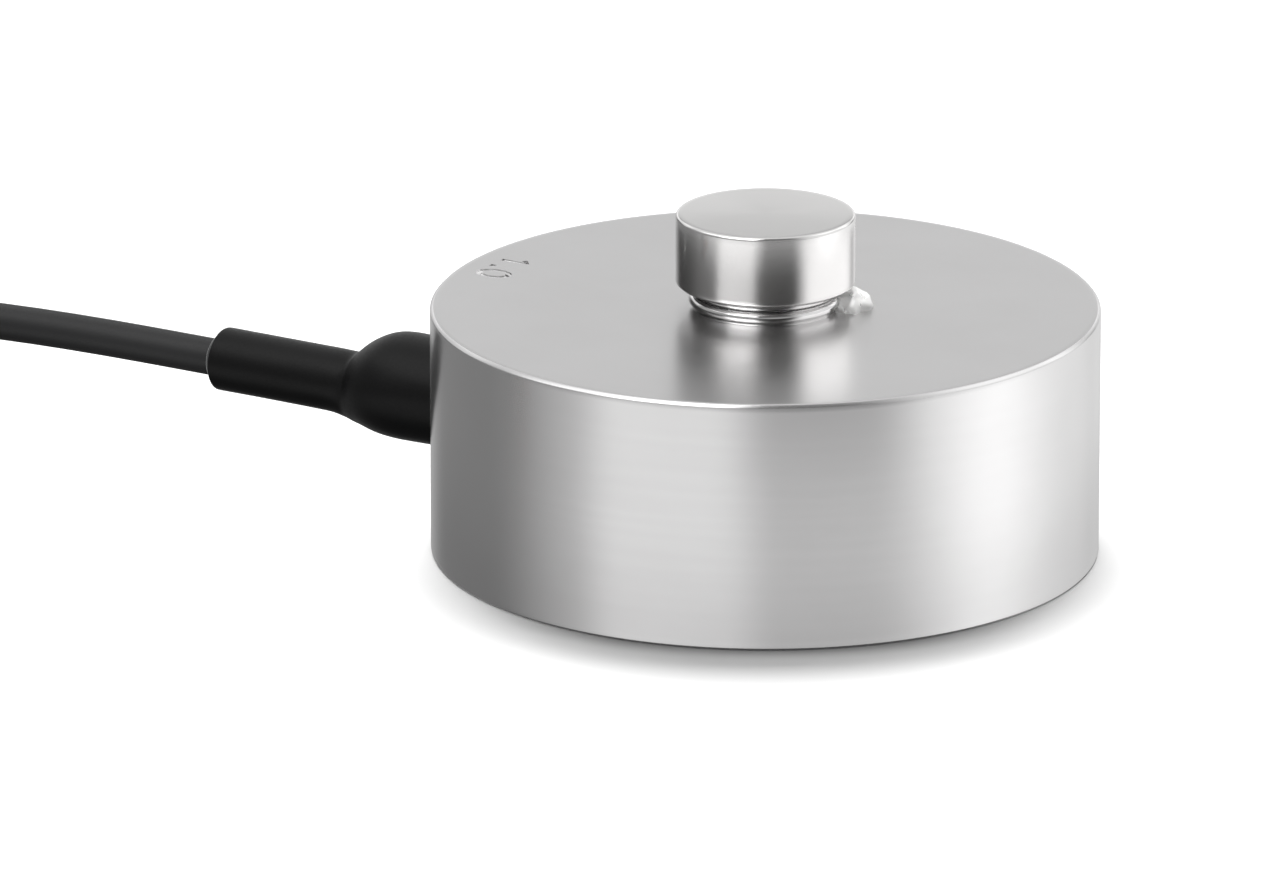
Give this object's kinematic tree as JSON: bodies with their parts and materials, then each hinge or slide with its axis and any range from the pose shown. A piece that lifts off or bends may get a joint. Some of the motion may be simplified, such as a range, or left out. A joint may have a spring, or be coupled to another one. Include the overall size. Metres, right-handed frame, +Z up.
{
  "type": "button load cell",
  "caption": "Flat round steel button load cell: a turned spring body with a raised load button on top and a cable that leaves its side through a shrink sleeve.",
  "frame": {"origin": "centre of the base, on the surface that the cell stands on", "axes": "+Z up along the load axis, -X along the cable where it leaves the body"},
  "size_m": [0.1357, 0.0838, 0.026],
  "materials": {
    "turned_steel": "fine turned, circular tool marks",
    "button_steel": "fine turned, brighter edges",
    "cover_steel": "rolled sheet",
    "nipple_steel": "turned",
    "clear_sealant": "clear cured adhesive",
    "grey_sealant": "cured sealant",
    "potting": "cured epoxy",
    "shrink_tube": "satin shrink tubing",
    "melted_liner": "melted adhesive liner",
    "cable_jacket": "matt cable jacket",
    "tie": "moulded strap",
    "boot": "satin shrink tubing",
    "board": "solder mask",
    "resistor": "ceramic chip with tinned ends",
    "gauge_film": "amber film with foil grid",
    "copper_wire": "bare copper",
    "red_core": "insulation",
    "black_core": "insulation",
    "green_core": "insulation",
    "white_core": "insulation"
  },
  "bodies": {
    "root": {"black_core_inner": "black_core", "black_core_tail": "black_core", "bottom_cover": "cover_steel", "cable_coil": "cable_jacket", "cable_lead": "cable_jacket", "cable_nipple": "nipple_steel", "cable_tail": "cable_jacket", "coil_tie": "tie", "cover_sealant": "grey_sealant", "end_boot": "boot", "gauge_lead_1": "copper_wire", "gauge_lead_2": "copper_wire", "gauge_lead_3": "copper_wire", "gauge_lead_4": "copper_wire", "gauge_lead_5": "copper_wire", "gauge_lead_6": "copper_wire", "gauge_lead_7": "copper_wire", "gauge_lead_8": "copper_wire", "green_core_inner": "green_core", "green_core_tail": "green_core", "load_button": "button_steel", "nipple_potting": "potting", "red_core_inner": "red_core", "red_core_tail": "red_core", "shrink_sleeve": "shrink_tube", "sleeve_liner": "melted_liner", "spring_body": "turned_steel", "strain_gauge_1": "gauge_film", "strain_gauge_2": "gauge_film", "strain_gauge_3": "gauge_film", "strain_gauge_4": "gauge_film", "terminal_board": "board", "thread_sealant": "clear_sealant", "trim_resistor_1": "resistor", "trim_resistor_2": "resistor", "trim_resistor_3": "resistor", "trim_resistor_4": "resistor", "white_core_inner": "white_core", "white_core_tail": "white_core"}
  },
  "joints": []
}
